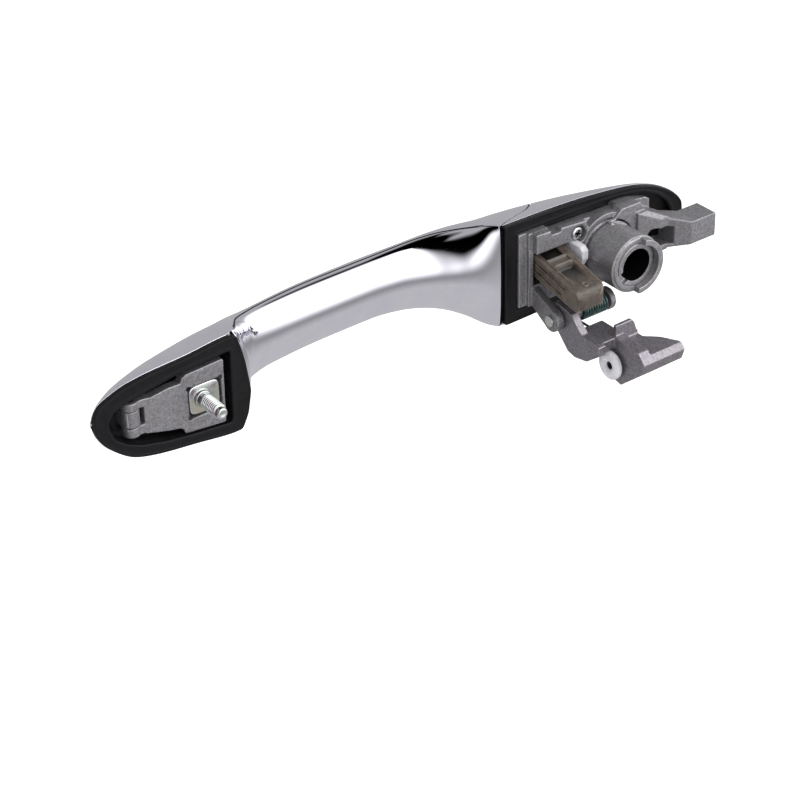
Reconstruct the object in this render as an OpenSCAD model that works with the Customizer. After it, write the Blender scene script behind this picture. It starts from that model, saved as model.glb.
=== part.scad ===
// Exterior car door handle: a hinged chrome strap grip, its fixed rear cap and the
// die-cast carrier behind the cap, with the bell crank that the grip's tail pulls.
// +X runs from the hinge end to the lock end, +Z is up, -Y goes into the door.
// The origin is on the axis of the front stud, in the plane of the door skin.

/* [Covers] */
// Wall of the chrome grip covers
cover_wall = 2.2; // [1.6:0.1:2.6]
// Wall of the chrome rear cap
cap_wall = 1.6; // [1.2:0.1:2]
// Gap along the seam between the grip and the rear cap
seam_gap = 0.5; // [0.4:0.1:0.8]
// How far the grip's outer end laps over the rear cap
seam_sweep = 30.5; // [28:0.5:32]
// Fullness of the cover's section, 2 is an ellipse
section_power = 2.2; // [2:0.1:2.5]

/* [Gaskets] */
// Thickness of the rubber gaskets
gasket_t = 1.8; // [1.2:0.1:2.4]
// Width of the gasket ring
gasket_w = 6; // [4.5:0.25:6.5]

/* [Front hinge] */
// Diameter of the hinge pin
hinge_pin_d = 3; // [2.5:0.1:3.5]
// Distance of the hinge axis in front of the stud
hinge_x = 29.5; // [28:0.5:30.5]
// Height of the hinge axis above the door skin
hinge_y = 3.4; // [3.3:0.1:3.5]
// Diameter of the front stud's thread
stud_d = 6; // [5:0.5:6.5]
// Reach of the front stud behind the door skin
stud_reach = 13.4; // [11:0.2:16]

/* [Lock housing] */
// Distance of the lock axis from the front stud
lock_x = 192.5; // [192:0.5:193.5]
// Bore for the lock cylinder
lock_bore_d = 14; // [13:0.25:15]
// Outside diameter of the lock housing
housing_d = 25.2; // [24:0.2:25.6]
// Reach of the lock housing behind the door skin
housing_reach = 24; // [22:0.5:25]

/* [Mounting block] */
// Tapped hole for the bolt through the door's edge
bolt_hole_d = 5; // [4.2:0.1:5.4]
// Depth of the tapped hole
bolt_hole_depth = 9; // [6:0.5:10]

/* [Bell crank] */
// Diameter of the pivot pin
pivot_pin_d = 4; // [3.6:0.1:4.2]
// Diameter of the spring wire
wire_d = 1.1; // [0.9:0.1:1.2]
// Turns in the return spring
spring_turns = 10; // [7:1:10]
// Bore of the rod clip
rod_d = 3.2; // [2.6:0.1:3.6]

/* [Hidden] */
$fn = 48;
fit = 0.05;
slack = 0.12;
over = 0.5;

chrome = [0.80, 0.81, 0.84];
zinc = [0.58, 0.58, 0.60];
black = [0.07, 0.07, 0.08];
rubber = [0.10, 0.10, 0.11];
smoke = [0.33, 0.29, 0.25];
nylon = [0.93, 0.93, 0.95];
plate = [0.80, 0.82, 0.80];
teal = [0.16, 0.24, 0.24];

// Grip and cap profiles: each row is a station along X and the value there.
half_height = [[-46.6, 0.9], [-45.6, 4.4], [-43, 8.6], [-38.8, 11.9], [-31, 16], [-20, 18.1],
               [-5, 19.5], [14, 21.5], [20, 20.4], [26, 16.6], [33, 14.2], [45, 13.6],
               [95, 13.4], [111, 14.4], [124, 16.7], [133, 19.7], [141, 23.2], [160, 23],
               [180, 22.3], [196, 21], [212, 19], [224, 15.6], [232, 11.4], [237.5, 7],
               [240, 3.4], [240.8, 0.9]];
mid_height = [[-46.6, 6], [-43, 4.8], [-38.8, 3.6], [-31, 2], [-20, 1.3], [-5, 0.8],
              [16, 0.6], [45, 0], [95, 0.2], [111, 0.4], [124, 0.9], [133, 0.8], [141, 0.2], [200, 0.4], [240.8, 0.2]];
crest = [[-46.6, 2.6], [-45, 3.2], [-42, 5.4], [-36, 10], [-28, 14], [-18, 18.8], [-5, 22.9],
         [14, 26.3], [37, 30.8], [65, 34.9], [95, 36.6], [118, 33.2], [135, 30.6], [156, 27.6],
         [176, 22.6], [195, 16.6], [210, 11.7], [224, 7.6], [234, 5], [239, 3.6], [240.8, 2.8]];
split_line = [[14, 2.6], [18, 4.4], [22, 10], [27, 17.4], [33, 22], [45, 25.6], [70, 28.2],
              [95, 28.6], [111, 27.2], [124, 22.2], [132, 15], [138, 7.2], [142.7, 1.9]];
grip_back = [[14, 1.9], [18, 3.3], [22, 7.4], [27, 12], [33, 15.6], [45, 18.4], [70, 20],
             [95, 20.4], [107, 19], [117, 14.8], [127, 8.2], [135, 3.2], [142.7, 0.6]];
// Top of the cap where the grip's end lies over it.
lap_line = [[143, 0.5], [147, 2.8], [151, 4.8], [157, 6.8], [162, 9], [166, 12], [171, 16.6],
            [176, 20.4], [180, 22]];
// Share of the seam's sweep against how far round the section it is, 0 at the rim.
seam_shape = [[0, 0], [0.08, 0.26], [0.19, 0.58], [0.42, 0.78], [0.7, 0.93], [1, 1]];

rim_y = gasket_t + 0.1;
nose_x = half_height[0][0];
tip_x = half_height[len(half_height) - 1][0];
grip_end_x = 142.6;
cap_start_x = 144.2;
grip_split_x = 14;
skin_sides = 28;

// Smooth curve through the rows of a table, with slopes taken from the neighbours.
function slope(t, i) =
    i <= 0 ? (t[1][1] - t[0][1]) / (t[1][0] - t[0][0]) :
    i >= len(t) - 1 ? (t[i][1] - t[i - 1][1]) / (t[i][0] - t[i - 1][0]) :
    let (a = (t[i][1] - t[i - 1][1]) / (t[i][0] - t[i - 1][0]),
         b = (t[i + 1][1] - t[i][1]) / (t[i + 1][0] - t[i][0]))
    a * b <= 0 ? 0 : 2 * a * b / (a + b);
function row_at(t, x, i = 0) = (i >= len(t) - 2 || x < t[i + 1][0]) ? i : row_at(t, x, i + 1);
function curve(t, x) =
    let (i = row_at(t, x),
         w = t[i + 1][0] - t[i][0],
         s = min(max((x - t[i][0]) / w, 0), 1),
         ma = slope(t, i) * w,
         mb = slope(t, i + 1) * w)
    t[i][1] * (2 * s * s * s - 3 * s * s + 1) + ma * (s * s * s - 2 * s * s + s)
    + t[i + 1][1] * (3 * s * s - 2 * s * s * s) + mb * (s * s * s - s * s);
function smooth(s) = let (c = min(max(s, 0), 1)) c * c * (3 - 2 * c);

// Point of the domed section at x: t is 0 at the top rim, 90 at the crest, 180 at the bottom rim.
function power(v) = pow(max(v, 0), 2 / section_power);
function dome_base(x) = x < grip_split_x ? rim_y : x > grip_end_x ? rim_y : curve(split_line, x);
function dome(x, t, wall, base) =
    let (h = max(curve(half_height, x) - wall, 0.3),
         up = curve(crest, x) - wall - base)
    [x, base + max(up, 0.2) * power(sin(t)),
     curve(mid_height, x) + sign(cos(t)) * h * power(abs(cos(t)))];
// Point of the grip's back, between the split line and the palm side.
function back_depth(x, wall) =
    let (d = curve(split_line, x) - curve(grip_back, x))
    max(d - wall, 0.3 * d);
function back(x, t, wall) =
    [x, curve(split_line, x) - back_depth(x, wall) * power(sin(t)),
     curve(mid_height, x) + sign(cos(t)) * (curve(half_height, x) - wall) * power(abs(cos(t)))];
function seam_x(t) = grip_end_x + seam_sweep * curve(seam_shape, sin(t));

// Closed solid between two grids of points that share their layout.
function grid_faces(rows, cols, first, flip) =
    [for (i = [0 : rows - 2], j = [0 : cols - 2], k = [0, 1])
        let (a = first + i * cols + j,
             b = a + 1,
             c = a + cols,
             d = c + 1,
             f = k == 0 ? [a, c, b] : [b, c, d])
        flip ? [f[2], f[1], f[0]] : f];
function rim_faces(ring, shift) =
    [for (i = [0 : len(ring) - 1], k = [0, 1])
        let (a = ring[i],
             b = ring[(i + 1) % len(ring)])
        k == 0 ? [a, b, a + shift] : [b, b + shift, a + shift]];
module thick_sheet(outside, inside) {
    rows = len(outside);
    cols = len(outside[0]);
    total = rows * cols;
    ring = concat([for (j = [0 : cols - 2]) j],
                  [for (i = [0 : rows - 2]) i * cols + cols - 1],
                  [for (j = [cols - 1 : -1 : 1]) (rows - 1) * cols + j],
                  [for (i = [rows - 1 : -1 : 1]) i * cols]);
    polyhedron(points = concat([for (r = outside, p = r) p], [for (r = inside, p = r) p]),
               faces = concat(grid_faces(rows, cols, 0, false),
                              grid_faces(rows, cols, total, true),
                              rim_faces(ring, total)));
}
// Closed solid through rings of points, with a flat cap at each end.
module ring_loft(rings) {
    rows = len(rings);
    cols = len(rings[0]);
    sides = [for (i = [0 : rows - 2], j = [0 : cols - 1], k = [0, 1])
        let (a = i * cols + j,
             b = i * cols + (j + 1) % cols)
        k == 0 ? [a, b, a + cols] : [b, b + cols, a + cols]];
    polyhedron(points = [for (r = rings, p = r) p],
               faces = concat([[for (j = [cols - 1 : -1 : 0]) j]], sides,
                              [[for (j = [0 : cols - 1]) (rows - 1) * cols + j]]));
}
// Slab with its outline in X and Z, between two heights in Y.
module slab(points, y0, y1) {
    translate([0, y1, 0]) rotate([90, 0, 0]) linear_extrude(y1 - y0) polygon(points);
}
// Plate with its outline in Y and Z, between two stations in X.
module side_plate(points, x0, x1) {
    translate([x0, 0, 0]) rotate([90, 0, 90]) linear_extrude(x1 - x0) polygon(points);
}
module box(a, b) {
    translate(a) cube(b - a);
}
module along_x(r, x0, x1, y, z) {
    translate([x0, y, z]) rotate([0, 90, 0]) cylinder(r = r, h = x1 - x0);
}
module along_y(r, y0, y1, x, z) {
    translate([x, y1, z]) rotate([90, 0, 0]) cylinder(r = r, h = y1 - y0);
}
module along_z(r, z0, z1, x, y) {
    translate([x, y, z0]) cylinder(r = r, h = z1 - z0);
}
// Rectangle with round corners, lying in X and Z.
module round_slab(w, h, r, y0, y1) {
    translate([0, y1, 0]) rotate([90, 0, 0]) linear_extrude(y1 - y0) {
        square([w - 2 * r, h], center = true);
        square([w, h - 2 * r], center = true);
        for (sx = [-1, 1], sz = [-1, 1]) translate([sx * (w / 2 - r), sz * (h / 2 - r)]) circle(r);
    }
}

// Outlines of the two pads in X and Z, set in from the chrome's edge.
function pad_outline(xs, inset) =
    concat([for (x = xs) [x, curve(mid_height, x) + curve(half_height, x) - inset]],
           [for (i = [len(xs) - 1 : -1 : 0])
               [xs[i], curve(mid_height, xs[i]) - curve(half_height, xs[i]) + inset]]);
front_edge_bulge = [[16.4, 20.6], [19.6, 9], [21.4, -4.5], [19.6, -14], [16.9, -19.6]];
front_window = [[-40.2, 3], [-39.8, 6], [-37.8, 8.6], [-34, 10.2], [-29, 11.2], [-11, 14.2],
                [12.2, 15.8], [13.2, 14.6], [12.6, 0.6], [12.4, -12], [11.6, -15.2],
                [-3.5, -13.9], [-16, -12.2], [-27, -9.6], [-33.2, -6.8], [-38, -3]];
rear_window = [[150.2, -16.8], [150.2, 18.2], [180, 17.4], [205, 16.9], [217, 15], [225, 11.4],
               [231, 6.4], [234, 0.6], [231, -5.6], [225, -10.2], [217, -13.6], [205, -15.4],
               [180, -16.6]];

// ---- Grip, moving ----
nose_steps = [-46.6, -46.2, -45.4, -44, -42, -39, -35.5, -31, -26, -20, -13, -5, 4, 13, 15.6];
bow_steps = [18, 20.5, 23, 26, 29.5, 33, 38, 45, 55, 68, 82, 95, 106, 115, 122, 127];
function end_steps(t) = [for (s = [0.17 : 0.1666 : 1.01]) 127 + (seam_x(t) - 127) * min(s, 1)];
function inner_x(x) = x + cover_wall * smooth((-22 - x) / 24);
function cover_base(x) = dome_base(x) + (x < grip_split_x ? 0 : slack);
function cover_row(i, wall) =
    [for (j = [0 : skin_sides])
        let (t = 180 * j / skin_sides,
             n = len(nose_steps) + len(bow_steps),
             xs = i < len(nose_steps) ? nose_steps[i] :
                  i < n ? bow_steps[i - len(nose_steps)] : end_steps(t)[i - n],
             x = wall > 0 ? inner_x(xs) : xs)
        dome(x, t, wall, cover_base(x))];
module grip_outer_cover() {
    rows = len(nose_steps) + len(bow_steps) + len(end_steps(90));
    color(chrome)
    thick_sheet([for (i = [0 : rows - 1]) cover_row(i, 0)],
                [for (i = [0 : rows - 1]) cover_row(i, cover_wall)]);
}

back_steps = concat([16.4], bow_steps, [130.5, 134, 137.5, 140.5, 142.5]);
function bulge(x, t) = 4.8 * sin(t) * sin(t) * (1 - smooth((x - 16.4) / 22));
module grip_inner_cover() {
    color(chrome)
    thick_sheet([for (x = back_steps)
                    [for (j = [0 : skin_sides])
                        let (t = 180 - 180 * j / skin_sides)
                        back(x, t, 0) + [bulge(x, t), 0, 0]]],
                [for (x = back_steps)
                    [for (j = [0 : skin_sides])
                        let (t = 180 - 180 * j / skin_sides)
                        back(x, t, cover_wall) + [bulge(x, t), 0, 0]]]);
}

core_gap = cover_wall + slack;
function lapped_gap(x) = core_gap + 0.9 * smooth((x - 118) / 8);
core_steps = [23.5, 26, 29.5, 33, 38, 45, 55, 68, 82, 95, 106, 115, 122, 127, 130.5, 134, 137.5,
              140.5, 142.6, 145, 150, 156, 161, 164, 167, 170];
function core_floor(x) = max(curve(lap_line, x), rim_y + 0.8) + seam_gap;
function core_ring(x) =
    let (lapped = x > grip_end_x - 0.1,
         base = lapped ? core_floor(x) : curve(split_line, x),
         gap = lapped_gap(x),
         rise = curve(crest, x) - gap - rim_y,
         t0 = lapped ? asin(min(pow((base - rim_y) / rise, section_power / 2), 1)) : 0,
         n = skin_sides)
    concat([for (j = [0 : n])
               lapped ? dome(x, t0 + (180 - 2 * t0) * j / n, gap, rim_y)
                      : dome(x, 180 * j / n, gap, base)],
           [for (j = [1 : n / 2 - 1])
               let (t = 180 - 360 * j / n,
                    d = max(back_depth(x, cover_wall) - slack, 0.02),
                    h = curve(half_height, x) - gap)
               lapped ? [x, base + 0.5 * sin(t), curve(mid_height, x) + h * power(cos(t0)) * cos(t)]
                      : [x, base - d * power(sin(t)),
                         curve(mid_height, x) + sign(cos(t)) * h * power(abs(cos(t)))]]);
tail_x0 = 157;
tail_x1 = 172.6;
hook_x0 = tail_x0 + 2.4;
hook_x1 = tail_x1 - 2.4;
hook_top = 6.2;
hook_bottom = -1.2;
hook_root_y = 19.5;
module grip_core() {
    color(black) difference() {
        ring_loft([for (x = core_steps) core_ring(x)]);
        box([hook_x0 - fit, 0, hook_bottom - fit], [hook_x1 + fit, hook_root_y + fit, hook_top + fit]);
    }
}

// The carrier fills the front pad behind its gasket and holds the hinge knuckle.
cavity_y = 7.7;
knuckle_z0 = -0.9;
knuckle_z1 = 5.9;
knuckle_r = 3.6;
knuckle_foot_y = 8.8;
carrier_steps = [-43.4, -42, -39.5, -36, -31, -26, -20, -13, -5, 4, 11, 15.8];
function carrier_ring(x) =
    [for (j = [0 : skin_sides]) dome(x, 180 * j / skin_sides, core_gap, rim_y)];
module front_carrier() {
    color(black) difference() {
        ring_loft([for (x = carrier_steps) carrier_ring(x)]);
        slab(front_window, rim_y - over, cavity_y);
        box([-hinge_x - knuckle_r - fit, 5, knuckle_z0 - fit],
            [-hinge_x + knuckle_r + fit, knuckle_foot_y + fit, knuckle_z1 + fit]);
    }
}

// Barrel that turns on the hinge pin, with a foot set into the carrier.
module hinge_knuckle() {
    color(zinc) difference() {
        union() {
            along_z(knuckle_r, knuckle_z0, knuckle_z1, -hinge_x, hinge_y);
            box([-hinge_x - knuckle_r, hinge_y, knuckle_z0],
                [-hinge_x + knuckle_r, knuckle_foot_y, knuckle_z1]);
        }
        along_z(hinge_pin_d / 2 + fit, knuckle_z0 - over, knuckle_z1 + over, -hinge_x, hinge_y);
    }
}

gasket_edge = 0.4;
front_gasket_xs = [-46.1, -45, -43, -40, -36, -31, -25, -18, -10, 0, 9, 16.2];
module front_gasket() {
    top = pad_outline(front_gasket_xs, gasket_edge);
    n = len(front_gasket_xs);
    edge = concat([for (i = [0 : n - 1]) top[i]], front_edge_bulge, [for (i = [n : 2 * n - 1]) top[i]]);
    color(rubber) difference() {
        slab(edge, 0, gasket_t);
        slab(front_window, -over, gasket_t + over);
    }
}

// Tail that passes through the base and draws the bell crank's finger outwards.
tail_end_y = -30.2;
slot_y0 = -26;
slot_y1 = -12.4;
slot_x0 = 160.2;
slot_x1 = 169.6;
function tail_top(y) = y > -0.5 ? 7.6 : 7.6 + 0.24 * (y + 0.5);
function tail_bottom(y) = y > -1 ? -2.6 : -2.6 + 0.19 * (y + 1);
hook_skin = 1.5;
hook_plate = 2;
module tail_hook() {
    plate_top = 3.1;
    color(zinc) {
        difference() {
            side_plate([[hook_root_y, hook_bottom], [hook_root_y, hook_top], [0, hook_top],
                        [-10, tail_top(-10) - hook_skin], [-10, tail_bottom(-10) + hook_skin],
                        [0, hook_bottom]], hook_x0, hook_x1);
            along_x(1.6, hook_x0 - over, hook_x1 + over, 15, 2.5);
        }
        side_plate([[-10, tail_top(-10) - plate_top], [-28.6, tail_top(-28.6) - plate_top],
                    [-28.6, tail_bottom(-28.6) + 1.3], [slot_y0 - 1, tail_bottom(slot_y0) + 1.3],
                    [slot_y0 - 1, tail_top(slot_y0) - plate_top - hook_plate],
                    [-10, tail_top(-10) - plate_top - hook_plate]], hook_x0, hook_x1);
    }
}
module tail_groove(z, y0, y1) {
    side_plate([[y1, tail_top(y1) - z], [y0, tail_top(y0) - z],
                [y0, tail_top(y0) - z - 0.7], [y1, tail_top(y1) - z - 0.7]],
               tail_x0 - over, tail_x0 + 0.6);
    side_plate([[y1, tail_top(y1) - z], [y0, tail_top(y0) - z],
                [y0, tail_top(y0) - z - 0.7], [y1, tail_top(y1) - z - 0.7]],
               tail_x1 - 1.5, tail_x1 + over);
}
module tail_pocket(y0, y1, depth, inset) {
    side_plate([[y1, tail_top(y1) + 1], [y1, tail_top(y1) - depth],
                [y0, tail_top(y0) - depth], [y0, tail_top(y0) + 1]],
               tail_x0 + inset, tail_x1 - inset - 1);
}
module tail_sleeve() {
    sleeve_root = 3.5;
    color(smoke) difference() {
        side_plate([[sleeve_root, -2.6], [sleeve_root, 7.6], [-0.5, 7.6], [-27.8, tail_top(-27.8)],
                    [-29.5, tail_top(-29.5) - 0.9], [tail_end_y, tail_top(tail_end_y) - 2.6],
                    [tail_end_y, tail_bottom(tail_end_y) + 1], [-29.4, tail_bottom(-29.4)],
                    [-1, -2.6]], tail_x0, tail_x1);
        // The right side leans in along the arc of the grip's hinge.
        translate([tail_x1, -2, -10]) rotate([0, 0, 2.2]) translate([0, -40, 0]) cube([5, 40, 25]);
        // Seat of the metal hook.
        side_plate([[sleeve_root + over, hook_bottom - fit], [sleeve_root + over, hook_top + fit],
                    [0, hook_top + fit], [-10, tail_top(-10) - hook_skin + fit],
                    [-10 - fit, tail_top(-10) - 3.1 + fit], [-28.6 - fit, tail_top(-28.6) - 3.1 + fit],
                    [-28.6 - fit, tail_bottom(-28.6) + 1.3 - fit],
                    [slot_y0 - 1 + fit, tail_bottom(slot_y0) + 1.3 - fit],
                    [slot_y0 - 1 + fit, tail_top(slot_y0) - 3.1 - hook_plate - fit],
                    [-10, tail_top(-10) - 3.1 - hook_plate - fit],
                    [-10, tail_bottom(-10) + hook_skin - fit], [0, hook_bottom - fit]],
                   hook_x0 - fit, hook_x1 + fit);
        // Slot for the bell crank's finger.
        side_plate([[slot_y1, -20], [slot_y1, tail_top(slot_y1) - 3.1 - hook_plate],
                    [slot_y0, tail_top(slot_y0) - 3.1 - hook_plate], [slot_y0, -20]],
                   slot_x0, slot_x1);
        tail_pocket(-3.4, -0.6, 1.4, 2.6);
        tail_pocket(-8.4, -4.3, 0.9, 2.6);
        tail_pocket(-22.6, -9.6, 2.1, 2.2);
        tail_groove(2.7, -22, -1);
        tail_groove(6.6, -20, -1);
    }
}

// ---- Front fixing ----
ear_r = 3.6;
bracket_y0 = 0.6;
bracket_y1 = 4.6;
bracket_top = 9.5;
bracket_bottom = -5.1;
window_w = 14.8;
window_h = 13.6;
window_c = [1.3, -0.4];
module front_bracket() {
    arm = [[-24.9, bracket_bottom - 0.5], [-16, -8.2], [-10, -9.5], [-8.8, -10.6], [-8.4, -12.2],
           [-7.2, -12.6], [9, -14.3], [9.6, -13.7], [10.2, 12.8], [9.4, 13.4], [-6.4, 12.6],
           [-8.2, 11.6], [-8.9, 9.8], [-14.3, 9.9], [-21.7, 8.9], [-24.9, bracket_top]];
    color(zinc) difference() {
        union() {
            slab(arm, bracket_y0, bracket_y1);
            for (z = [[bracket_bottom, knuckle_z0 - 0.3], [knuckle_z1 + 0.3, bracket_top]]) {
                along_z(ear_r, z[0], z[1], -hinge_x, hinge_y);
                box([-hinge_x, bracket_y0, z[0]], [-24.8, bracket_y1, z[1]]);
            }
        }
        along_z(hinge_pin_d / 2, bracket_bottom - over, bracket_top + over, -hinge_x, hinge_y);
        translate([window_c[0], 0, window_c[1]])
            round_slab(window_w, window_h, 0.8, bracket_y0 - over, bracket_y1 + over);
        for (sx = [-1, 1], sz = [-1, 1])
            along_y(1, bracket_y0 - over, bracket_y1 + over, window_c[0] + sx * (window_w / 2 - 0.5),
                    window_c[1] + sz * (window_h / 2 - 0.5));
    }
}
module hinge_pin() {
    color(plate)
    along_z(hinge_pin_d / 2, bracket_bottom + 0.3, bracket_top - 0.3, -hinge_x, hinge_y);
}
// Square-headed stud: the flange bears on the back of the bracket.
head_y = 1.2;
module front_stud() {
    r = stud_d / 2;
    color(plate) {
        translate([window_c[0], 0, window_c[1]]) {
            round_slab(17.6, 16.4, 1.5, bracket_y1 + fit, 6.6);
            round_slab(13.4, 12.4, 2.6, head_y, bracket_y1 + fit);
        }
        along_y(r + 0.4, 0, head_y, 0, 0);
        along_y(r, 2.2 - stud_reach, 0, 0, 0);
        along_y(r * 0.74, -stud_reach, 2.2 - stud_reach, 0, 0);
    }
}

// ---- Rear cap and base, fixed ----
cap_steps = [0, 0.06, 0.13, 0.21, 0.3, 0.4, 0.5, 0.6, 0.7, 0.78, 0.85, 0.91, 0.95, 0.98, 1];
function cap_row(s, wall) =
    [for (j = [0 : skin_sides])
        let (t = 180 * j / skin_sides,
             x0 = max(seam_x(t) + seam_gap, cap_start_x - 0.2),
             x1 = tip_x - (wall > 0 ? cap_wall : 0))
        dome(x0 + (x1 - x0) * s, t, wall, rim_y)];
module rear_cap() {
    color(chrome)
    thick_sheet([for (s = cap_steps) cap_row(s, 0)], [for (s = cap_steps) cap_row(s, cap_wall)]);
}
// The cap's core stands further in where the grip's end laps over it.
function core_wall(x) = cap_wall + slack + 1 - smooth((x - 172) / 8);
cap_core_steps = [143.8, 147, 151, 157, 162, 166, 171, 176, 184, 194, 204, 213, 221, 228, 233.5, 237];
lock_hole_r = housing_d / 2 + 0.6;
screw_places = [[177.9, 11, -3.4], [214.2, 0.4, -2.6]];
module cap_core() {
    rings = [for (x = cap_core_steps)
        [for (j = [0 : skin_sides])
            let (p = dome(x, 180 * j / skin_sides, core_wall(x), rim_y))
            [x, min(p[1], max(curve(lap_line, x), rim_y + 0.8)), p[2]]]];
    color(black) difference() {
        ring_loft(rings);
        box([154.4, 0, -7], [176.6, 40, 9.2]);
        along_y(lock_hole_r, 0, 8.5, lock_x, 0);
        slab([for (p = rear_window) if (p[0] > 216) p], 0, 5.5);
        for (p = screw_places) along_y(1.6, 0, 9.2, p[0], p[1]);
    }
}
rear_gasket_xs = [144.2, 155, 168, 180, 192, 203, 213, 221, 228, 233, 237, 239.4, 240.4];
module rear_gasket() {
    color(rubber) difference() {
        slab(pad_outline(rear_gasket_xs, gasket_edge), 0, gasket_t);
        slab(rear_window, -over, gasket_t + over);
    }
}

pivot_y = -14.4;
pivot_z = -17.8;
ear_x0 = 156;
ear_x1 = 159.6;
far_ear_x0 = 184.6;
far_ear_x1 = 187.2;
pivot_ear_r = 4.9;
plate_y = -2.5;
block_x0 = 228.4;
block_x1 = 241;
block_y0 = -19.6;
block_y1 = -8;
block_z0 = -5;
block_z1 = 5.6;
bolt_y = (block_y0 + block_y1) / 2;
bolt_z = (block_z0 + block_z1) / 2;
module pivot_ear(x0, x1, root_z) {
    along_x(pivot_ear_r, x0, x1, pivot_y, pivot_z);
    side_plate([[plate_y + 1, root_z], [pivot_y - 2.3, pivot_z + 4.3], [pivot_y - 0.5, pivot_z - pivot_ear_r],
                [pivot_y + 2.2, pivot_z - 4.3], [plate_y + 1, -15.5]], x0, x1);
}
module base_casting() {
    step_x = 154.2;
    strip = [[150.4, -16.1], [150.4, 17.6], [step_x + 1, 17.6], [step_x + 1, -16.1]];
    face = [[step_x, -16.1], [step_x, 17.6], [164, 17.6], [164.4, 15.4], [199, 14.4],
            [200.6, 16.2], [208.6, 15.8], [212, 14.6], [218.4, 12.6], [219, 8], [219, -8],
            [216, -12], [204, -15], [180, -16.1]];
    raised = [[156, 8.8], [156, 17.5], [163.4, 17.3], [163.6, 15.4], [168.4, 15.2], [169, 16.8],
              [182, 15.8], [184.5, 8.8]];
    color(zinc) difference() {
        union() {
            slab(strip, -1, gasket_t);
            slab(face, plate_y, gasket_t);
            slab(raised, -5.6, plate_y);
            // Lip round the tail window.
            box([153.8, -3.3, -6.9], [156, plate_y, 9.4]);
            // Collar round the lock housing.
            along_y(15.8, -6.4, plate_y, lock_x, 0);
            // Wall above the collar that carries the arm.
            slab([[194, 12], [199, 16.4], [209, 16.4], [211.6, 12], [211.6, 2], [203, 2]], -8, plate_y);
            slab([[207, 8.5], [207, 16], [216, 14.6], [218, 13.2], [218, 8.5]], -3.6, plate_y);
            // Arm and mounting block.
            hull() {
                box([206.6, -9.4, -8.2], [211.6, -3.2, 12.2]);
                box([216, -13.4, -7], [220, -4.4, 8.2]);
            }
            hull() {
                box([218.4, -12.8, -6.4], [220, -4.6, 7.8]);
                box([block_x0 - 1, block_y0, block_z0], [block_x0 + 1, block_y1, block_z1]);
            }
            box([block_x0, block_y0, block_z0], [block_x1, block_y1, block_z1]);
            pivot_ear(ear_x0, ear_x1, -7.4);
            pivot_ear(far_ear_x0, far_ear_x1, -15.7);
        }
        // Window for the tail.
        box([156.2, -12, -6.9], [174.4, gasket_t + over, 8.8]);
        box([174.3, -12, -8.4], [178.4, gasket_t + over, 8.8]);
        along_y(lock_hole_r, -20, gasket_t + over, lock_x, 0);
        for (p = screw_places) {
            along_y(1.7, -20, gasket_t + over, p[0], p[1]);
            along_y(3.7, -20, p[2], p[0], p[1]);
        }
        // Pocket in the arm that leaves the second screw open.
        box([211.7, -20, -4.4], [221.8, plate_y - 0.1, 3.8]);
        along_x(bolt_hole_d / 2, block_x1 - bolt_hole_depth, block_x1 + over, bolt_y, bolt_z);
        for (x = [ear_x0, far_ear_x0])
            along_x(pivot_pin_d / 2, x - over, x + 4.5, pivot_y, pivot_z);
    }
}

bore_r = lock_bore_d / 2;
sleeve_r = 9.4;
front_ring_y = -housing_reach - 0.6;
module lock_housing() {
    r = housing_d / 2;
    color(zinc) difference() {
        union() {
            along_y(r, -housing_reach, -8, lock_x, 0);
            along_y(r - 0.8, -8, -5.8, lock_x, 0);
            along_y(r, -5.8, 7.6, lock_x, 0);
            along_y(r - 1.1, front_ring_y, -housing_reach, lock_x, 0);
            // Guard wall round the right side of the mouth.
            difference() {
                along_y(r - 0.6, -28, front_ring_y + 0.3, lock_x, 0);
                translate([lock_x, 0, 0]) rotate([0, 8, 0]) box([-20, -30, -20], [0.6, -20, 20]);
            }
            // Parting-line mark and rear lug.
            box([lock_x - 1.4, -10.5, 11], [lock_x + 3, -7, 13.4]);
            translate([lock_x, 0, 0]) rotate([0, 8, 0]) box([-r - 0.3, -15.5, -0.3], [-r + 1, -12, 0.3]);
        }
        along_y(sleeve_r + fit, -31, -9, lock_x, 0);
        along_y(bore_r, -9.2, 6, lock_x, 0);
        // Flat on the upper side.
        translate([lock_x, 0, 0]) rotate([0, 28, 0]) box([-20, -22.6, r - 1.1], [20, -8.6, 20]);
    }
}
module lock_sleeve() {
    color(zinc) difference() {
        along_y(sleeve_r, -24.9, -9 - fit, lock_x, 0);
        along_y(bore_r, -27, -8, lock_x, 0);
        translate([lock_x, 0, 0]) rotate([0, -28, 0]) box([-12, -27, -3.2], [-5, -22.6, 2.2]);
    }
}

module base_screws() {
    head_r = 2.9;
    head_t = 1.9;
    color(plate) for (p = screw_places) {
        y = p[2];
        difference() {
            union() {
                along_y(head_r, y - head_t * 0.6, y, p[0], p[1]);
                along_y(head_r * 0.8, y - head_t, y - head_t * 0.6, p[0], p[1]);
                along_y(1.5, y, 7.8, p[0], p[1]);
            }
            translate([p[0], y - head_t, p[1]]) rotate([0, 20, 0]) {
                cube([3, 2.4, 0.8], center = true);
                cube([0.8, 2.4, 3], center = true);
            }
        }
    }
}

// Nylon guide beside the tail, in the base's window.
module tail_guide() {
    color(nylon) {
        side_plate([[1.7, -8.2], [1.7, 7.8], [-9.6, 7.8], [-11.6, 6.2], [-11.6, 2.4], [-7.6, -4.6],
                    [-7.6, -8.2]], 174.8, 178.2);
        box([165.6, -3, 7.8 - fit], [178.2, 1.7, 8.7]);
    }
}

module pivot_pin() {
    color(plate) {
        along_x(pivot_pin_d / 2, ear_x0, far_ear_x1 + 0.6, pivot_y, pivot_z);
        along_x(pivot_pin_d / 2 + 0.35, ear_x0 - 0.9, ear_x0, pivot_y, pivot_z);
    }
}

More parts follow.
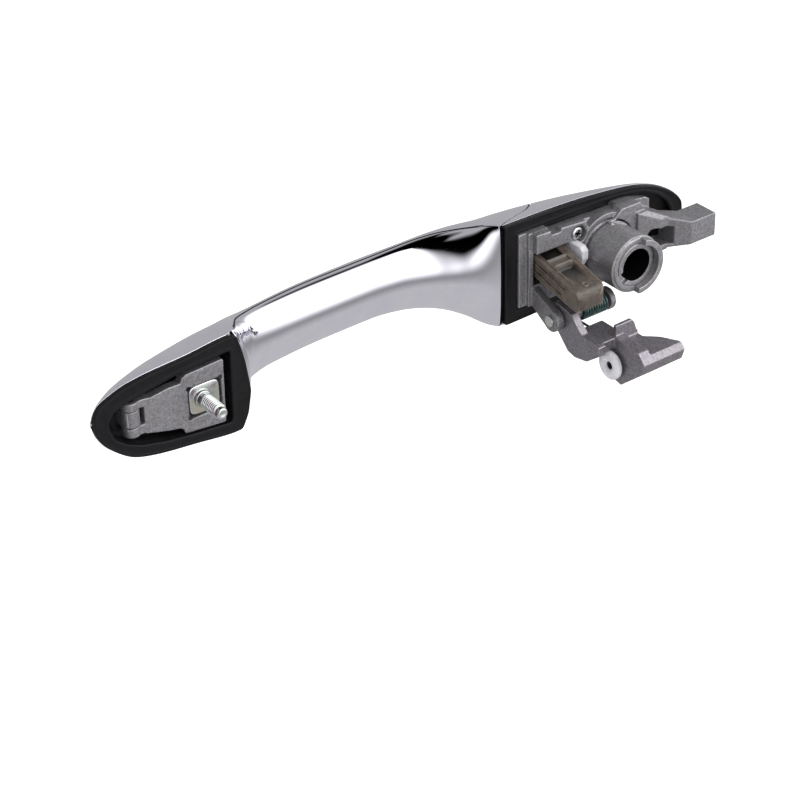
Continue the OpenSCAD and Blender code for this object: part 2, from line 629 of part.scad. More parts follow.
// ---- Bell crank, moving ----
arm_x0 = 160;
arm_x1 = 163.6;
hub_r = 3.5;
hub_x1 = 184.1;
web_z = -20;
clip_y = -38.6;
clip_z = -31.6;
clip_stem_r = 2.7;
weight_x0 = 170;
weight_x1 = 192;
module bell_crank() {
    plate_outline = [[-14.6, -24.4], [-20.6, -30.6], [-25, -31.6], [-32.5, -30.2], [-40, -24.4],
                     [-40, -20.4], [-38, web_z], [-29.4, -19.4], [-25.6, -16.2], [-22.6, -12.6],
                     [-15.4, -11.4]];
    weight = [[-38.2, -19.9], [-52.2, -20.8], [-56.2, -25], [-54.6, -29.8], [-42.4, -40.4],
              [-38.4, -39.6], [-34.4, -36.6], [-32.9, -31.6], [-34.2, -25.6]];
    color(zinc) difference() {
        union() {
            side_plate(plate_outline, arm_x0, arm_x1);
            along_x(6.5, arm_x0, arm_x1, pivot_y, pivot_z);
            along_x(hub_r, arm_x1, hub_x1, pivot_y, pivot_z);
            // Web from the arm to the weight.
            side_plate([[-24, web_z], [-38.2, web_z], [-38.2, -24.4], [-30, -24.4], [-24, -22.6]],
                       arm_x1, 175.4);
            side_plate(weight, weight_x0, weight_x1);
            // Upright rib behind the weight.
            slab([[171.2, -24], [171.2, -15.4], [179.6, -15.2], [181, -16.6], [183.6, -24]],
                 -37.5, -35.6);
            // Finger that reaches up into the tail's slot.
            translate([0, pivot_y, pivot_z]) rotate([8, 0, 0]) box([162.6, -1.7, 0], [168.2, 1.7, 14.4]);
        }
        along_x(pivot_pin_d / 2 + fit, arm_x0 - over, hub_x1 + over, pivot_y, pivot_z);
        along_x(clip_stem_r + fit, weight_x0 - over, weight_x0 + 7, clip_y, clip_z);
        // Pan in the top of the weight, and its cut-off far corner.
        box([175.4, -53.6, -22.6], [weight_x1 + over, -37.6, -10]);
        translate([0, 0, -50]) linear_extrude(60)
            polygon([[183, -30], [183, -40.6], [188, -45.2], [weight_x1 + 0.1, -52.8],
                     [weight_x1 + 4, -52.8], [weight_x1 + 4, -30]]);
        // Spring hole in the web.
        along_y(0.9, -27, -20, 168.6, -22);
    }
}

coil_x0 = 170;
coil_x1 = 183.4;
coil_r = hub_r + 0.2 + wire_d / 2;
wire_sides = 8;
steps_per_turn = 16;
// Ring of wire at a point of the coil, in the plane of the coil's radius and its axis.
function coil_ring(x, a, r) =
    [for (k = [0 : wire_sides - 1])
        let (w = 360 * k / wire_sides,
             q = r + wire_d / 2 * cos(w))
        [x + wire_d / 2 * sin(w), pivot_y + q * cos(a), pivot_z + q * sin(a)]];
function shifted(ring, v) = [for (p = ring) p + v];
module crank_spring() {
    n = spring_turns * steps_per_turn + steps_per_turn / 4;
    coil = [for (i = [0 : n])
        coil_ring(coil_x0 + (coil_x1 - coil_x0) * i / n, 360 * i / steps_per_turn - 90, coil_r)];
    color(teal)
    ring_loft(concat([shifted(coil[0], [0, -9.3, 0])], coil, [shifted(coil[n], [0, 0, 8])]));
}

// Nylon clip that takes the lock's rod; it swivels in the weight.
module rod_clip() {
    r = rod_d / 2;
    color(nylon) translate([0, clip_y, clip_z]) rotate([0, 90, 0]) rotate_extrude()
        polygon([[r, 166.6], [r + 1.4, 166], [4.6, 166], [6.2, 166.8], [6.2, 168.6],
                 [3.6, 169.2], [clip_stem_r, weight_x0 - 0.2], [clip_stem_r, 176.6], [r, 176.6]]);
}

grip_outer_cover();
grip_inner_cover();
grip_core();
front_carrier();
hinge_knuckle();
front_gasket();
tail_hook();
tail_sleeve();
hinge_pin();
front_bracket();
front_stud();
rear_cap();
cap_core();
rear_gasket();
base_casting();
lock_housing();
lock_sleeve();
base_screws();
tail_guide();
pivot_pin();
crank_spring();
bell_crank();
rod_clip();
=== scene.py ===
"""Looks of an exterior car door handle: chrome strap grip, rubber gaskets and bare castings.

Lengths here are in millimetres, and become metres where a mesh, a light or the camera is made.
+X runs from the hinge end to the lock end, +Z is up, and -Y goes into the door.
"""

import math

import bpy
import numpy as np
from mathutils import Matrix


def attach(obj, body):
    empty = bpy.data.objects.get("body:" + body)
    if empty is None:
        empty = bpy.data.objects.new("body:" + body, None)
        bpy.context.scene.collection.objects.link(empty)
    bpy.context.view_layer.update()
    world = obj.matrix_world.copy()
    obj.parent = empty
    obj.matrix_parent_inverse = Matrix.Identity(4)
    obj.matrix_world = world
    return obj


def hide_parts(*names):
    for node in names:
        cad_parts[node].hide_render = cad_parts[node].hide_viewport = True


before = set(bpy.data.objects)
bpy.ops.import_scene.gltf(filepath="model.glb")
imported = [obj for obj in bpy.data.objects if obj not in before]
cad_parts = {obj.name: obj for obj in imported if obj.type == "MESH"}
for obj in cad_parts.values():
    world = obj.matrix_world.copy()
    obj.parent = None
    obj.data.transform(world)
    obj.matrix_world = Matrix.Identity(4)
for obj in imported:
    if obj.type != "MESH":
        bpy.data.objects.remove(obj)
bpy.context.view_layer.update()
MM = 0.001

# ---- Profiles of the chrome, as in the CAD: rows of (station along X, value there) ----
HALF_HEIGHT = [(-46.6, 0.9), (-45.6, 4.4), (-43, 8.6), (-38.8, 11.9), (-31, 16), (-20, 18.1),
               (-5, 19.5), (14, 21.5), (20, 20.4), (26, 16.6), (33, 14.2), (45, 13.6), (95, 13.4),
               (111, 14.4), (124, 16.7), (133, 19.7), (141, 23.2), (160, 23), (180, 22.3),
               (196, 21), (212, 19), (224, 15.6), (232, 11.4), (237.5, 7), (240, 3.4), (240.8, 0.9)]
MID_HEIGHT = [(-46.6, 6), (-43, 4.8), (-38.8, 3.6), (-31, 2), (-20, 1.3), (-5, 0.8), (16, 0.6),
              (45, 0), (95, 0.2), (111, 0.4), (124, 0.9), (133, 0.8), (141, 0.2), (200, 0.4),
              (240.8, 0.2)]
CREST = [(-46.6, 2.6), (-45, 3.2), (-42, 5.4), (-36, 10), (-28, 14), (-18, 18.8), (-5, 22.9),
         (14, 26.3), (37, 30.8), (65, 34.9), (95, 36.6), (118, 33.2), (135, 30.6), (156, 27.6),
         (176, 22.6), (195, 16.6), (210, 11.7), (224, 7.6), (234, 5), (239, 3.6), (240.8, 2.8)]
SPLIT_LINE = [(14, 2.6), (18, 4.4), (22, 10), (27, 17.4), (33, 22), (45, 25.6), (70, 28.2),
              (95, 28.6), (111, 27.2), (124, 22.2), (132, 15), (138, 7.2), (142.7, 1.9)]
GRIP_BACK = [(14, 1.9), (18, 3.3), (22, 7.4), (27, 12), (33, 15.6), (45, 18.4), (70, 20), (95, 20.4),
             (107, 19), (117, 14.8), (127, 8.2), (135, 3.2), (142.7, 0.6)]
SEAM_SHAPE = [(0, 0), (0.08, 0.26), (0.19, 0.58), (0.42, 0.78), (0.7, 0.93), (1, 1)]
NOSE_X = HALF_HEIGHT[0][0]
TIP_X = HALF_HEIGHT[-1][0]
RIM_Y = 1.9
GRIP_END_X = 142.6
PALM_START_X = 16.4
PALM_END_X = 142.5
CAP_START_X = 144.0
SEAM_SWEEP = 30.5
SEAM_GAP = 0.8
COVER_WALL = 2.2
CAP_WALL = 1.6
SPLIT_GAP = 0.3
LEAST_DEPTH = 0.3
FULLNESS = 2.2


def smooth(x, low, high):
    """0 below low, 1 above high, and a soft ramp between them."""
    s = np.clip((np.asarray(x, float) - low) / (high - low), 0, 1)
    return s * s * (3 - 2 * s)


def curve(table, x):
    """Value at x on the curve through a table's rows, with slopes taken from the neighbours."""
    rows = np.asarray(table, float)
    at, value = rows[:, 0], rows[:, 1]
    width = np.diff(at)
    rise = np.diff(value) / width
    product = rise[:-1] * rise[1:]
    total = np.where(product > 0, rise[:-1] + rise[1:], 1)
    slope = np.concatenate([rise[:1], np.where(product > 0, 2 * product / total, 0), rise[-1:]])
    x = np.asarray(x, float)
    i = np.clip(np.searchsorted(at, x, side="right") - 1, 0, len(width) - 1)
    w = width[i]
    s = np.clip((x - at[i]) / w, 0, 1)
    return (value[i] * (2 * s**3 - 3 * s**2 + 1) + slope[i] * w * (s**3 - 2 * s**2 + s)
            + value[i + 1] * (3 * s**2 - 2 * s**3) + slope[i + 1] * w * (s**3 - s**2))


def eased(function, x, reach, low=NOSE_X, high=TIP_X):
    """A function of X averaged over a reach either side, so that reflections run without kinks."""
    x = np.asarray(x, float)
    local = np.clip(0.35 * np.minimum(x - low, high - x), 0, reach)
    steps = np.linspace(-1, 1, 13)
    weights = np.cos(steps * math.pi / 2) + 0.05
    values = sum(w * function(x + k * local) for k, w in zip(steps, weights))
    return values / weights.sum()


def half_height(x):
    """Half of the chrome's height along Z."""
    return eased(lambda v: curve(HALF_HEIGHT, v), x, 3.5)


def mid_height(x):
    """Z of the chrome's middle line."""
    return eased(lambda v: curve(MID_HEIGHT, v), x, 5)


def crest(x):
    """Y of the outside's ridge."""
    return eased(lambda v: curve(CREST, v), x, 7)


def split_y(x):
    """Y of the line between the grip's two shells."""
    return eased(lambda v: curve(SPLIT_LINE, v), x, 2.0, SPLIT_LINE[0][0], SPLIT_LINE[-1][0])


def grip_back_y(x):
    """Y of the grip's palm side."""
    return eased(lambda v: curve(GRIP_BACK, v), x, 2.5, GRIP_BACK[0][0], GRIP_BACK[-1][0])


def rim_line(x):
    """Lower edge of the outside shell: the gasket's plane on the pads, the split line between."""
    between = smooth(x, 13, 15.6) * (1 - smooth(x, GRIP_END_X - 0.6, GRIP_END_X))
    on_line = split_y(np.clip(x, SPLIT_LINE[0][0], SPLIT_LINE[-1][0]))
    return RIM_Y + (on_line + SPLIT_GAP - RIM_Y) * between


def power(v):
    """Turns a sine or cosine into that of a section a little fuller than an ellipse."""
    return np.maximum(v, 0) ** (2 / FULLNESS)


def sideways(t):
    """Place across the section, from 1 at the top rim to -1 at the bottom."""
    return np.sign(np.cos(t)) * power(np.abs(np.cos(t)))


def dome(x, t, wall, base=None):
    """Points of the outside shell at stations x, for t from 0 at the top rim to pi at the bottom."""
    x, t = np.broadcast_arrays(np.asarray(x, float), np.asarray(t, float))
    if base is None:
        near_rim = 1 - smooth(np.sin(t), 0.0, 0.35)
        full = eased(rim_line, x, 8)
        base = full + (rim_line(x) - full) * near_rim
    rise = np.maximum(crest(x) - wall - base, 0.2)
    soft = eased(half_height, x, 13)
    shoulder = smooth(np.sin(t), 0.05, 0.7)
    half = half_height(x) + (soft - half_height(x)) * shoulder
    half = np.maximum(half - wall, LEAST_DEPTH)
    return np.stack([x, base + rise * power(np.sin(t)), mid_height(x) + half * sideways(t)], -1)


def palm_side(x, t, wall):
    """Points of the grip's back, between the split line and the palm side."""
    x, t = np.broadcast_arrays(np.asarray(x, float), np.asarray(t, float))
    depth = split_y(x) - grip_back_y(x)
    depth = np.maximum(depth - wall, 0.3 * depth)
    bulge = 4.8 * np.sin(t) ** 2 * (1 - smooth(x, PALM_START_X, PALM_START_X + 22))
    return np.stack([x + bulge, split_y(x) - depth * power(np.sin(t)),
                     mid_height(x) + (half_height(x) - wall) * sideways(t)], -1)


def seam_x(t):
    """Station of the slanted seam between the grip's shell and the cap, round the section."""
    return GRIP_END_X + SEAM_SWEEP * curve(SEAM_SHAPE, np.sin(t))


# ---- Meshes ----
def loft_faces(rows, cols, ends="capped"):
    """Faces of a tube through rows of points, each row closed. Its ends are capped, open, or
    joined to each other."""
    spans = rows if ends == "joined" else rows - 1
    faces = [(i * cols + j, i * cols + (j + 1) % cols, (i + 1) % rows * cols + (j + 1) % cols,
              (i + 1) % rows * cols + j) for i in range(spans) for j in range(cols)]
    if ends == "capped":
        faces += [tuple(range(cols))[::-1], tuple((rows - 1) * cols + j for j in range(cols))]
    return faces


def piece(name, points, faces, body, material, nodes, sharp=40):
    """A mesh from points in millimetres, riding on a body in place of CAD nodes."""
    mesh = bpy.data.meshes.new(name)
    mesh.from_pydata((np.asarray(points).reshape(-1, 3) * MM).tolist(), [], faces)
    mesh.shade_smooth()
    mesh.set_sharp_from_angle(angle=math.radians(sharp))
    mesh.materials.append(material)
    obj = bpy.data.objects.new(name, mesh)
    bpy.context.scene.collection.objects.link(obj)
    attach(obj, body)
    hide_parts(*nodes)
    return obj


def store_hollow(obj, values):
    """Keeps a value for every point, which the materials read as painted shade in hollows."""
    shade = obj.data.attributes.new("hollow", "FLOAT", "POINT")
    shade.data.foreach_set("value", np.asarray(values, float).ravel())


def outward(obj):
    """Turns a closed mesh's faces outwards, if they look inwards."""
    mesh = obj.data
    mesh.calc_loop_triangles()
    co = np.array([v.co for v in mesh.vertices])
    tri = np.array([t.vertices for t in mesh.loop_triangles])
    a, b, c = co[tri[:, 0]], co[tri[:, 1]], co[tri[:, 2]]
    if np.einsum("ij,ij->i", a, np.cross(b, c)).sum() < 0:
        mesh.flip_normals()
    return obj


CORNER_POINTS = 4


def corner(before, at, after, radius):
    """Points that round a corner of a path, for whole grids of paths at once."""
    def reach(p):
        d = p - at
        length = np.linalg.norm(d, axis=-1, keepdims=True) + 1e-9
        return at + d / length * np.minimum(radius, 0.45 * length)
    a, b = reach(before), reach(after)
    return [a * (1 - s) ** 2 + at * 2 * s * (1 - s) + b * s**2
            for s in np.linspace(0, 1, CORNER_POINTS)]


def shell(outside, inside, radius):
    """Closed wall between two grids of points, with every open edge rounded, as points and faces."""
    columns = [*corner(inside[:, 0], outside[:, 0], outside[:, 1], radius),
               *outside[:, 1:-1].swapaxes(0, 1),
               *corner(outside[:, -2], outside[:, -1], inside[:, -1], radius),
               *corner(outside[:, -1], inside[:, -1], inside[:, -2], radius),
               *inside[:, -2:0:-1].swapaxes(0, 1),
               *corner(inside[:, 1], inside[:, 0], outside[:, 0], radius)]
    rings = np.stack(columns, 1)
    first = corner(rings[1], rings[0], rings[0, ::-1], radius)[::-1]
    last = corner(rings[-2], rings[-1], rings[-1, ::-1], radius)
    rings = np.concatenate([first, rings[1:-1], last])
    rows, cols = rings.shape[:2]
    faces = loft_faces(rows, cols, ends="open")
    for start, turn in ((0, -1), ((rows - 1) * cols, 1)):
        for k in range(cols // 2 - 1):
            quad = (start + k, start + k + 1, start + cols - 2 - k, start + cols - 1 - k)
            faces.append(quad[::turn])
    return rings, faces


def spaced(path, count):
    """Points at even steps along a path, without its last point."""
    path = np.asarray(path, float)
    run = np.concatenate([[0], np.cumsum(np.linalg.norm(np.diff(path, axis=0), axis=1))])
    at = np.linspace(0, run[-1], count, endpoint=False)
    return np.stack([np.interp(at, run, path[:, k]) for k in range(path.shape[1])], 1)


def outline(parts, counts, rounds):
    """Closed outline of several paths, each with its own count of points, with softened corners."""
    points = np.concatenate([spaced(p, n) for p, n in zip(parts, counts)])
    for _ in range(rounds):
        points = (np.roll(points, 1, 0) + 2 * points + np.roll(points, -1, 0)) / 4
    return points


def ring_section(outer, inner, section):
    """Closed ring between two outlines in X and Z. A row of the section is a distance in from the
    outer edge, or out from the inner edge if it is negative, and a height in Y."""
    across = inner - outer
    across /= np.linalg.norm(across, axis=1, keepdims=True)
    columns = []
    for distance, y in section:
        flat = outer + across * distance if distance >= 0 else inner + across * distance
        columns.append(np.stack([flat[:, 0], np.full(len(flat), y), flat[:, 1]], 1))
    rings = np.stack(columns, 1)
    return rings, loft_faces(*rings.shape[:2], ends="joined")


def lathe(profile, sides=64):
    """Rings for a profile of (radius, place along the axis), each closed, about an axis in X."""
    turn = np.linspace(0, 2 * math.pi, sides, endpoint=False)
    return np.array([[(along, r * math.cos(a), r * math.sin(a)) for a in turn]
                     for r, along in profile])


# ---- Materials ----
def new_material(name, **values):
    """A material whose shader sockets have these values, with its node tree and shader."""
    mat = bpy.data.materials.new(name)
    mat.use_nodes = True
    tree = mat.node_tree
    shader = tree.nodes["Principled BSDF"]
    for socket, value in values.items():
        shader.inputs[socket.replace("_", " ")].default_value = value
    return mat, tree, shader


def node(tree, kind, settings=(), **inputs):
    """A new shader node; each input is a value or a socket to link."""
    made = tree.nodes.new("ShaderNode" + kind)
    for key, value in dict(settings).items():
        setattr(made, key, value)
    for socket, value in inputs.items():
        target = made.inputs[socket.replace("_", " ")]
        if isinstance(value, bpy.types.NodeSocket):
            tree.links.new(value, target)
        else:
            target.default_value = value
    return made


def noise(tree, size_mm, detail=3.0, roughness=0.6, stretch=(1, 1, 1)):
    """Noise whose blotches are about that size, fixed to the piece."""
    place = node(tree, "TexCoord").outputs["Object"]
    scaled = node(tree, "Mapping", Vector=place, Scale=stretch).outputs["Vector"]
    return node(tree, "TexNoise", Vector=scaled, Scale=1 / (size_mm * MM), Detail=detail,
                Roughness=roughness).outputs["Fac"]


def ranged(tree, value, low, high, start=0.0, end=1.0):
    """Start where the value is low, end where it is high, and a straight ramp between."""
    return node(tree, "MapRange", Value=value, From_Min=low, From_Max=high, To_Min=start,
                To_Max=end).outputs["Result"]


def mixed(tree, share, a, b):
    """Colour between a and b; each is a colour or a socket."""
    made = node(tree, "Mix", {"data_type": "RGBA"})
    tree.links.new(share, made.inputs["Factor"])
    for name, value in (("A", a), ("B", b)):
        target = [s for s in made.inputs if s.name == name and s.type == "RGBA"][0]
        if isinstance(value, bpy.types.NodeSocket):
            tree.links.new(value, target)
        else:
            target.default_value = (*value, 1)
    return [s for s in made.outputs if s.type == "RGBA"][0]


def bumped(tree, shader, height, strength, distance_mm):
    """Makes the shader's surface rise and fall with the height."""
    made = node(tree, "Bump", Height=height, Strength=strength, Distance=distance_mm * MM)
    tree.links.new(made.outputs["Normal"], shader.inputs["Normal"])


def edges(tree, low, high):
    """1 on a mesh's convex edges and 0 on its flats."""
    return ranged(tree, node(tree, "NewGeometry").outputs["Pointiness"], low, high)


def combine(tree, operation, a, b):
    """Result of a sum on two numbers or sockets."""
    made = node(tree, "Math", {"operation": operation})
    for socket, value in zip(made.inputs, (a, b)):
        if isinstance(value, bpy.types.NodeSocket):
            tree.links.new(value, socket)
        else:
            socket.default_value = value
    return made.outputs[0]


def hollow_value(tree):
    """The value that store_hollow keeps on a piece."""
    return node(tree, "Attribute", {"attribute_name": "hollow"}).outputs["Fac"]


def chrome_look():
    """Bright decorative chrome with a faint waviness and a little haze."""
    mat, tree, shader = new_material("chrome", Metallic=1.0)
    haze = noise(tree, 9, 5, 0.65)
    tint = mixed(tree, ranged(tree, haze, 0.35, 0.7), (0.85, 0.84, 0.91), (0.90, 0.895, 0.94))
    tree.links.new(tint, shader.inputs["Base Color"])
    tree.links.new(ranged(tree, haze, 0.4, 0.75, 0.035, 0.085), shader.inputs["Roughness"])
    bumped(tree, shader, noise(tree, 26, 2, 0.4), 0.05, 0.5)
    return mat


def rubber_look():
    """Satin black rubber with a fine grain, and edges lightened as dust and as a painted highlight."""
    mat, tree, shader = new_material("rubber", Specular_IOR_Level=0.22)
    dust = noise(tree, 3.5, 6, 0.7)
    worn = mixed(tree, ranged(tree, dust, 0.45, 0.8), (0.0035, 0.0035, 0.0045), (0.008, 0.008, 0.010))
    # Painted highlight, partly dust: convex edges are lightened in the colour.
    rim = mixed(tree, edges(tree, 0.53, 0.66), worn, (0.016, 0.016, 0.019))
    tree.links.new(rim, shader.inputs["Base Color"])
    tree.links.new(ranged(tree, dust, 0.3, 0.75, 0.42, 0.62), shader.inputs["Roughness"])
    bumped(tree, shader, noise(tree, 0.35, 2, 0.5), 0.35, 0.05)
    return mat


def black_plastic_look():
    """Moulded black plastic with a spark-eroded grain."""
    mat, tree, shader = new_material("black_plastic", Specular_IOR_Level=0.3)
    blotch = noise(tree, 5, 4, 0.6)
    colour = mixed(tree, ranged(tree, blotch, 0.35, 0.7), (0.007, 0.007, 0.008), (0.016, 0.016, 0.018))
    tree.links.new(colour, shader.inputs["Base Color"])
    tree.links.new(ranged(tree, blotch, 0.3, 0.7, 0.38, 0.55), shader.inputs["Roughness"])
    bumped(tree, shader, noise(tree, 0.28, 3, 0.6), 0.4, 0.04)
    return mat


def inside_bore(tree, x, z, radius):
    """1 on metal inside a bore along Y and 0 outside it, for an axis and a radius in mm."""
    place = node(tree, "SeparateXYZ", Vector=node(tree, "TexCoord").outputs["Object"])
    across = combine(tree, "SUBTRACT", place.outputs["X"], x * MM)
    up = combine(tree, "SUBTRACT", place.outputs["Z"], z * MM)
    squares = [combine(tree, "MULTIPLY", v, v) for v in (across, up)]
    reach = combine(tree, "SQRT", combine(tree, "ADD", *squares), 0.0)
    return ranged(tree, reach, (radius + 0.25) * MM, (radius + 0.05) * MM)


def casting_look(name, dark, light, rough, bore=None):
    """Raw zinc die casting: mottled skin, fine specks, edges lightened as wear and as a painted
    highlight.
    With a bore, given as its axis and radius, the metal inside it is painted black as shade."""
    mat, tree, shader = new_material(name, Metallic=0.8)
    skin = noise(tree, 1.1, 5, 0.75)
    cloud = noise(tree, 9, 3, 0.55)
    speck = noise(tree, 0.42, 2, 0.5)
    base = mixed(tree, ranged(tree, skin, 0.36, 0.66), dark, light)
    warm = mixed(tree, ranged(tree, cloud, 0.4, 0.75, 0, 0.5), base, (0.27, 0.245, 0.25))
    flecked = mixed(tree, ranged(tree, speck, 0.60, 0.72, 0, 0.75), warm, (0.60, 0.59, 0.60))
    pitted = mixed(tree, ranged(tree, speck, 0.40, 0.30, 0, 0.6), flecked, (0.07, 0.07, 0.08))
    # Painted highlight, partly wear: convex edges are lightened in the colour.
    worn_and_lit_edges = mixed(tree, edges(tree, 0.525, 0.61), pitted, (0.62, 0.61, 0.63))
    colour = worn_and_lit_edges
    if bore:
        # Painted shade: metal inside the bore is coloured near black.
        colour = mixed(tree, inside_bore(tree, *bore), worn_and_lit_edges, (0.012, 0.012, 0.014))
    tree.links.new(colour, shader.inputs["Base Color"])
    tree.links.new(ranged(tree, skin, 0.3, 0.7, rough, rough + 0.16), shader.inputs["Roughness"])
    bumped(tree, shader, combine(tree, "ADD", skin, speck), 0.5, 0.06)
    return mat


def plated_look():
    """Zinc plate with a pale iridescent passivate and fine turning marks, a painted highlight on its
    edges and painted shade in its hollows.
    """
    mat, tree, shader = new_material("plated_steel", Metallic=1.0)
    film = noise(tree, 4.5, 3, 0.5)
    green = mixed(tree, ranged(tree, film, 0.35, 0.52), (0.52, 0.45, 0.49), (0.55, 0.62, 0.58))
    pink = mixed(tree, ranged(tree, film, 0.52, 0.68), green, (0.64, 0.60, 0.47))
    # Painted highlight: convex edges and thread ridges are lightened in the colour.
    bright = mixed(tree, edges(tree, 0.51, 0.56), pink, (0.80, 0.81, 0.81))
    # Painted shade: hollows, such as a screw's cross recess, are darkened to near black.
    hollow_shade = mixed(tree, hollow_value(tree), bright, (0.02, 0.02, 0.024))
    tree.links.new(hollow_shade, shader.inputs["Base Color"])
    marks = noise(tree, 1.3, 4, 0.6, (0.4, 3, 0.4))
    tree.links.new(ranged(tree, marks, 0.3, 0.7, 0.16, 0.34), shader.inputs["Roughness"])
    bumped(tree, shader, marks, 0.25, 0.03)
    return mat


def smoke_look():
    """Smoky brown nylon, semi-gloss, with a painted highlight on its edges and painted shade in its
    creases and hollows.
    """
    mat, tree, shader = new_material("smoke_plastic", Specular_IOR_Level=0.5, Coat_Weight=0.25,
                                     Coat_Roughness=0.3, Subsurface_Weight=0.12)
    shader.inputs["Subsurface Radius"].default_value = (0.6 * MM, 0.45 * MM, 0.3 * MM)
    shader.inputs["Subsurface Scale"].default_value = 1.0
    cloud = noise(tree, 2.6, 5, 0.68)
    fine = noise(tree, 0.5, 3, 0.6)
    base = mixed(tree, ranged(tree, cloud, 0.34, 0.68), (0.045, 0.034, 0.026), (0.125, 0.098, 0.075))
    speck = mixed(tree, ranged(tree, fine, 0.55, 0.75, 0, 0.35), base, (0.19, 0.155, 0.12))
    # Painted highlight: convex edges are lightened.
    pale = mixed(tree, edges(tree, 0.51, 0.58), speck, (0.21, 0.175, 0.14))
    # Painted shade: concave edges are darkened.
    crease_shade = mixed(tree, edges(tree, 0.49, 0.44), pale, (0.02, 0.015, 0.012))
    # Painted shade: the hollows, root window and side grooves go towards near black.
    hollow_shade_share = ranged(tree, hollow_value(tree), 0.3, 2.6)
    hollow_shade = mixed(tree, hollow_shade_share, crease_shade, (0.006, 0.005, 0.004))
    tree.links.new(hollow_shade, shader.inputs["Base Color"])
    tree.links.new(ranged(tree, cloud, 0.3, 0.7, 0.3, 0.5), shader.inputs["Roughness"])
    bumped(tree, shader, fine, 0.3, 0.05)
    return mat


def nylon_look():
    """Natural white nylon, a little translucent."""
    mat, tree, shader = new_material("white_nylon", Subsurface_Weight=0.15, Specular_IOR_Level=0.35)
    shader.inputs["Subsurface Radius"].default_value = (0.3 * MM, 0.3 * MM, 0.35 * MM)
    shader.inputs["Subsurface Scale"].default_value = 1.0
    cloud = noise(tree, 3, 4, 0.6)
    colour = mixed(tree, ranged(tree, cloud, 0.35, 0.7), (0.58, 0.57, 0.60), (0.74, 0.74, 0.78))
    # Painted shade: the clip's bore is darkened to near black.
    hollow_shade = mixed(tree, hollow_value(tree), colour, (0.03, 0.03, 0.035))
    tree.links.new(hollow_shade, shader.inputs["Base Color"])
    tree.links.new(ranged(tree, cloud, 0.3, 0.7, 0.32, 0.48), shader.inputs["Roughness"])
    bumped(tree, shader, noise(tree, 0.4, 3, 0.5), 0.2, 0.04)
    return mat


def spring_look():
    """Dark teal coated wire, worn brighter in patches."""
    mat, tree, shader = new_material("spring_steel", Metallic=0.7)
    wear = noise(tree, 1.2, 4, 0.6)
    colour = mixed(tree, ranged(tree, wear, 0.4, 0.7), (0.035, 0.075, 0.075), (0.13, 0.20, 0.19))
    tree.links.new(colour, shader.inputs["Base Color"])
    tree.links.new(ranged(tree, wear, 0.3, 0.7, 0.25, 0.42), shader.inputs["Roughness"])
    bumped(tree, shader, noise(tree, 0.3, 2, 0.5), 0.2, 0.02)
    return mat


CHROME = chrome_look()
RUBBER = rubber_look()
BLACK = black_plastic_look()
ZINC = casting_look("zinc_casting", (0.20, 0.195, 0.21), (0.38, 0.375, 0.39), 0.44)
SLEEVE = casting_look("bored_casting", (0.26, 0.255, 0.27), (0.46, 0.455, 0.47), 0.40,
                      bore=(192.5, 0, 7))
CRANK = casting_look("crank_casting", (0.18, 0.165, 0.19), (0.37, 0.35, 0.38), 0.34)
PLATED = plated_look()
SMOKE = smoke_look()
NYLON = nylon_look()
SPRING = spring_look()


# ---- Chrome shells ----
SIDES = 84
RIM_ROUND = 0.16
SPLIT_REACH = (18.0, 138.0)


def blacken_inside(obj, dark_rim=(0, 0), dark_rows=()):
    """Gives the inside of a chrome shell the bare black plastic. Its rim is black too between two
    stations along X, and so are whole rows of faces at its seam."""
    obj.data.materials.append(BLACK)
    cols = 2 * (SIDES - 1) + 4 * CORNER_POINTS
    for face in obj.data.polygons:
        row, column = divmod(face.index, cols)
        inside = cols // 2 + CORNER_POINTS // 2 <= column <= cols - CORNER_POINTS
        at_rim = column < CORNER_POINTS or column >= cols // 2 - CORNER_POINTS
        rim = at_rim and dark_rim[0] < face.center.x / MM < dark_rim[1]
        face.material_index = int(inside or rim or row in dark_rows)


def build_outer_cover():
    """The grip's outside, from the nose to the slanted seam. Its rows are close at the nose, and
    lean over towards the seam behind the bend."""
    t = np.linspace(0, math.pi, SIDES + 1)
    bend_x = 127.0
    run = np.linspace(0, 1, 120)
    stations = NOSE_X + (bend_x - NOSE_X) * (0.35 * run + 0.65 * run**2)
    rows = [np.full(len(t), x) for x in stations]
    rows += [bend_x + (seam_x(t) - bend_x) * s for s in np.linspace(0, 1, 34)[1:]]
    x = np.array(rows)
    inner_x = x + COVER_WALL * smooth(-x, 22, 46)
    points, faces = shell(dome(x, t, 0), dome(inner_x, t, COVER_WALL), RIM_ROUND)
    obj = outward(piece("grip_outer_shell", points, faces, "grip", CHROME,
                        ["grip_outer_cover"]))
    last = len(points) - 1
    blacken_inside(obj, SPLIT_REACH, range(last - 2, last))


def build_palm_cover():
    """The grip's palm side, up to the split line."""
    t = np.linspace(math.pi, 0, SIDES + 1)
    x = np.linspace(PALM_START_X, PALM_END_X, 130)[:, None]
    points, faces = shell(palm_side(x, t, 0), palm_side(x, t, COVER_WALL), RIM_ROUND)
    obj = outward(piece("grip_palm_shell", points, faces, "grip", CHROME,
                        ["grip_inner_cover"]))
    blacken_inside(obj, SPLIT_REACH)


def build_rear_cap():
    """The cap from the seam to the tip, with its rows closer towards the tip."""
    t = np.linspace(0, math.pi, SIDES + 1)
    start = np.maximum(seam_x(t) + SEAM_GAP, CAP_START_X)
    run = np.linspace(0, 1, 100)[:, None]
    run = 1 - (1 - run) * (0.4 + 0.6 * (1 - run))
    grids = [dome(start + (TIP_X - wall - start) * run, t, wall, RIM_Y) for wall in (0, CAP_WALL)]
    points, faces = shell(*grids, RIM_ROUND)
    obj = outward(piece("rear_cap_shell", points, faces, "carrier", CHROME,
                        ["rear_cap"]))
    blacken_inside(obj, dark_rows=range(2))


